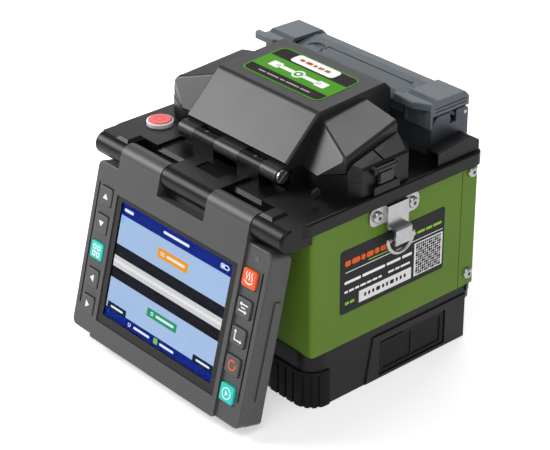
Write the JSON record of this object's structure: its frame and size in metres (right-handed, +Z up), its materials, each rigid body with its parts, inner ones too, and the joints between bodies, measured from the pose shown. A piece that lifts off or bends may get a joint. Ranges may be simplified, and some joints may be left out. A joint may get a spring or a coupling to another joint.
{
  "type": "fiber fusion splicer",
  "caption": "Handheld optical fibre fusion splicer with tilting touch-key screen, hinged wind hood, tube heater with lid and clamps, slide-out battery and strap rings.",
  "frame": {"origin": "centre of the flat underside of the base", "axes": "+X towards the side with the printed label and the battery's mouth, +Y away from the screen, +Z up"},
  "size_m": [0.1548, 0.1572, 0.1396],
  "materials": {
    "case_black": "fine moulded grain",
    "bumper_rubber": "matte",
    "green_paint": "satin powder coat",
    "screen_grey": "fine moulded grain",
    "hood_black": "satin moulded",
    "housing_black": "semi gloss",
    "heater_slate": "satin",
    "smoke_clear": "translucent smoke",
    "steel": "satin",
    "chassis_aluminium": "milled",
    "brass": "turned",
    "label_film": "printed film",
    "hood_film": "printed film",
    "screen_glass": "display behind glass",
    "circuit": "solder mask",
    "ceramic": "ground ceramic",
    "battery_black": "moulded",
    "cell_foil": "foil",
    "key_grey": "soft touch",
    "key_teal": "soft touch",
    "key_orange": "soft touch",
    "button_white": "moulded",
    "button_red": "translucent",
    "lamp_clear": "clear",
    "tungsten": "ground",
    "lens_black": "anodised barrel"
  },
  "bodies": {
    "root": {"base_tray": "case_black", "corner_bumpers": "bumper_rubber", "tripod_insert": "brass", "case_wrap": "green_paint", "rear_panel": "green_paint", "rear_ports": "case_black", "chassis": "chassis_aluminium", "case_screws": "steel", "strap_brackets": "steel", "side_label": "label_film", "top_cap": "case_black", "screen_hinge_shafts": "steel", "hinge_posts": "case_black", "hinge_pins": "steel", "splice_housing": "housing_black", "splice_bed": "chassis_aluminium", "v_groove_blocks": "ceramic", "electrodes": "tungsten", "electrode_holders": "brass", "camera_modules": "lens_black", "circuit_boards": "circuit", "feed_motors": "steel", "rear_guards": "housing_black", "heater_housing": "heater_slate", "heater_plate": "ceramic"},
    "battery": {"battery_case": "battery_black", "battery_cells": "cell_foil"},
    "screen": {"screen_bezel": "screen_grey", "screen_rear_cover": "screen_grey", "screen_cover_screws": "steel", "screen_glass": "screen_glass", "lcd_module": "lens_black", "screen_board": "circuit", "status_led": "lamp_clear"},
    "hood": {"hood_shell": "hood_black", "hood_label": "hood_film", "hood_lamps": "lamp_clear"},
    "heater_lid": {"heater_lid": "smoke_clear"},
    "power_button": {"power_button_ring": "button_white", "power_button_lens": "button_red"},
    "heater_clamp_left": {"heater_clamp_left": "smoke_clear"},
    "heater_clamp_right": {"heater_clamp_right": "smoke_clear"},
    "d_ring_left": {"d_ring_left": "steel"},
    "d_ring_right": {"d_ring_right": "steel"},
    "side_latch_left": {"side_latch_left": "hood_black"},
    "side_latch_right": {"side_latch_right": "hood_black"},
    "fibre_clamp_left": {"fibre_clamp_left": "chassis_aluminium"},
    "fibre_clamp_right": {"fibre_clamp_right": "chassis_aluminium"},
    "sheath_clamp_left": {"sheath_clamp_left": "housing_black"},
    "sheath_clamp_right": {"sheath_clamp_right": "housing_black"},
    "key_up": {"key_up": "key_grey"},
    "key_down": {"key_down": "key_grey"},
    "key_menu": {"key_menu": "key_teal"},
    "key_left": {"key_left": "key_grey"},
    "key_right": {"key_right": "key_grey"},
    "key_heat": {"key_heat": "key_orange"},
    "key_swap": {"key_swap": "key_grey"},
    "key_axes": {"key_axes": "key_grey"},
    "key_reset": {"key_reset": "key_grey"},
    "key_start": {"key_start": "key_teal"}
  },
  "joints": [
    {"name": "screen_tilt", "type": "hinge", "parent": "root", "child": "screen", "pos_m": [0, -0.07, 0.099], "axis": [-1, 0, 0], "range_deg": [-14, 140]},
    {"name": "hood_open", "type": "hinge", "parent": "root", "child": "hood", "pos_m": [0, -0.0457, 0.1114], "axis": [1, 0, 0], "range_deg": [0, 88]},
    {"name": "heater_lid_open", "type": "hinge", "parent": "root", "child": "heater_lid", "pos_m": [0, 0.0536, 0.1223], "axis": [-1, 0, 0], "range_deg": [0, 90]},
    {"name": "heater_clamp_left_open", "type": "hinge", "parent": "root", "child": "heater_clamp_left", "pos_m": [0, 0.0536, 0.1223], "axis": [-1, 0, 0], "range_deg": [0, 90]},
    {"name": "heater_clamp_right_open", "type": "hinge", "parent": "root", "child": "heater_clamp_right", "pos_m": [0, 0.0536, 0.1223], "axis": [-1, 0, 0], "range_deg": [0, 90]},
    {"name": "d_ring_left_swing", "type": "hinge", "parent": "root", "child": "d_ring_left", "pos_m": [-0.0747, -0.0036, 0.0796], "axis": [0, 1, 0], "range_deg": [-20, 95]},
    {"name": "side_latch_left_lift", "type": "hinge", "parent": "root", "child": "side_latch_left", "pos_m": [-0.071, -0.0105, 0.1178], "axis": [0, 1, 0], "range_deg": [0, 60]},
    {"name": "d_ring_right_swing", "type": "hinge", "parent": "root", "child": "d_ring_right", "pos_m": [0.0747, -0.0036, 0.0796], "axis": [0, -1, 0], "range_deg": [-20, 95]},
    {"name": "side_latch_right_lift", "type": "hinge", "parent": "root", "child": "side_latch_right", "pos_m": [0.071, -0.0105, 0.1178], "axis": [0, -1, 0], "range_deg": [0, 60]},
    {"name": "fibre_clamp_left_lift", "type": "hinge", "parent": "root", "child": "fibre_clamp_left", "pos_m": [0, 0.003, 0.1214], "axis": [-1, 0, 0], "range_deg": [0, 48]},
    {"name": "sheath_clamp_left_lift", "type": "hinge", "parent": "root", "child": "sheath_clamp_left", "pos_m": [0, 0.003, 0.1214], "axis": [-1, 0, 0], "range_deg": [0, 38]},
    {"name": "fibre_clamp_right_lift", "type": "hinge", "parent": "root", "child": "fibre_clamp_right", "pos_m": [0, 0.003, 0.1214], "axis": [-1, 0, 0], "range_deg": [0, 48]},
    {"name": "sheath_clamp_right_lift", "type": "hinge", "parent": "root", "child": "sheath_clamp_right", "pos_m": [0, 0.003, 0.1214], "axis": [-1, 0, 0], "range_deg": [0, 38]},
    {"name": "battery_slide", "type": "slide", "parent": "root", "child": "battery", "axis": [1, 0, 0], "range_m": [0, 0.118]},
    {"name": "power_button_press", "type": "slide", "parent": "root", "child": "power_button", "axis": [0, 0, -1], "range_m": [0, 0.0012], "stiffness_N_per_m": 900, "springref_m": -0.0003},
    {"name": "key_up_press", "type": "slide", "parent": "screen", "child": "key_up", "axis": [0, 0.9674, -0.2534], "range_m": [0, 0.0008], "stiffness_N_per_m": 700, "springref_m": -0.0003},
    {"name": "key_down_press", "type": "slide", "parent": "screen", "child": "key_down", "axis": [0, 0.9674, -0.2534], "range_m": [0, 0.0008], "stiffness_N_per_m": 700, "springref_m": -0.0003},
    {"name": "key_menu_press", "type": "slide", "parent": "screen", "child": "key_menu", "axis": [0, 0.9674, -0.2534], "range_m": [0, 0.0008], "stiffness_N_per_m": 700, "springref_m": -0.0003},
    {"name": "key_left_press", "type": "slide", "parent": "screen", "child": "key_left", "axis": [0, 0.9674, -0.2534], "range_m": [0, 0.0008], "stiffness_N_per_m": 700, "springref_m": -0.0003},
    {"name": "key_right_press", "type": "slide", "parent": "screen", "child": "key_right", "axis": [0, 0.9674, -0.2534], "range_m": [0, 0.0008], "stiffness_N_per_m": 700, "springref_m": -0.0003},
    {"name": "key_heat_press", "type": "slide", "parent": "screen", "child": "key_heat", "axis": [0, 0.9674, -0.2534], "range_m": [0, 0.0008], "stiffness_N_per_m": 700, "springref_m": -0.0003},
    {"name": "key_swap_press", "type": "slide", "parent": "screen", "child": "key_swap", "axis": [0, 0.9674, -0.2534], "range_m": [0, 0.0008], "stiffness_N_per_m": 700, "springref_m": -0.0003},
    {"name": "key_axes_press", "type": "slide", "parent": "screen", "child": "key_axes", "axis": [0, 0.9674, -0.2534], "range_m": [0, 0.0008], "stiffness_N_per_m": 700, "springref_m": -0.0003},
    {"name": "key_reset_press", "type": "slide", "parent": "screen", "child": "key_reset", "axis": [0, 0.9674, -0.2534], "range_m": [0, 0.0008], "stiffness_N_per_m": 700, "springref_m": -0.0003},
    {"name": "key_start_press", "type": "slide", "parent": "screen", "child": "key_start", "axis": [0, 0.9674, -0.2534], "range_m": [0, 0.0008], "stiffness_N_per_m": 700, "springref_m": -0.0003}
  ]
}
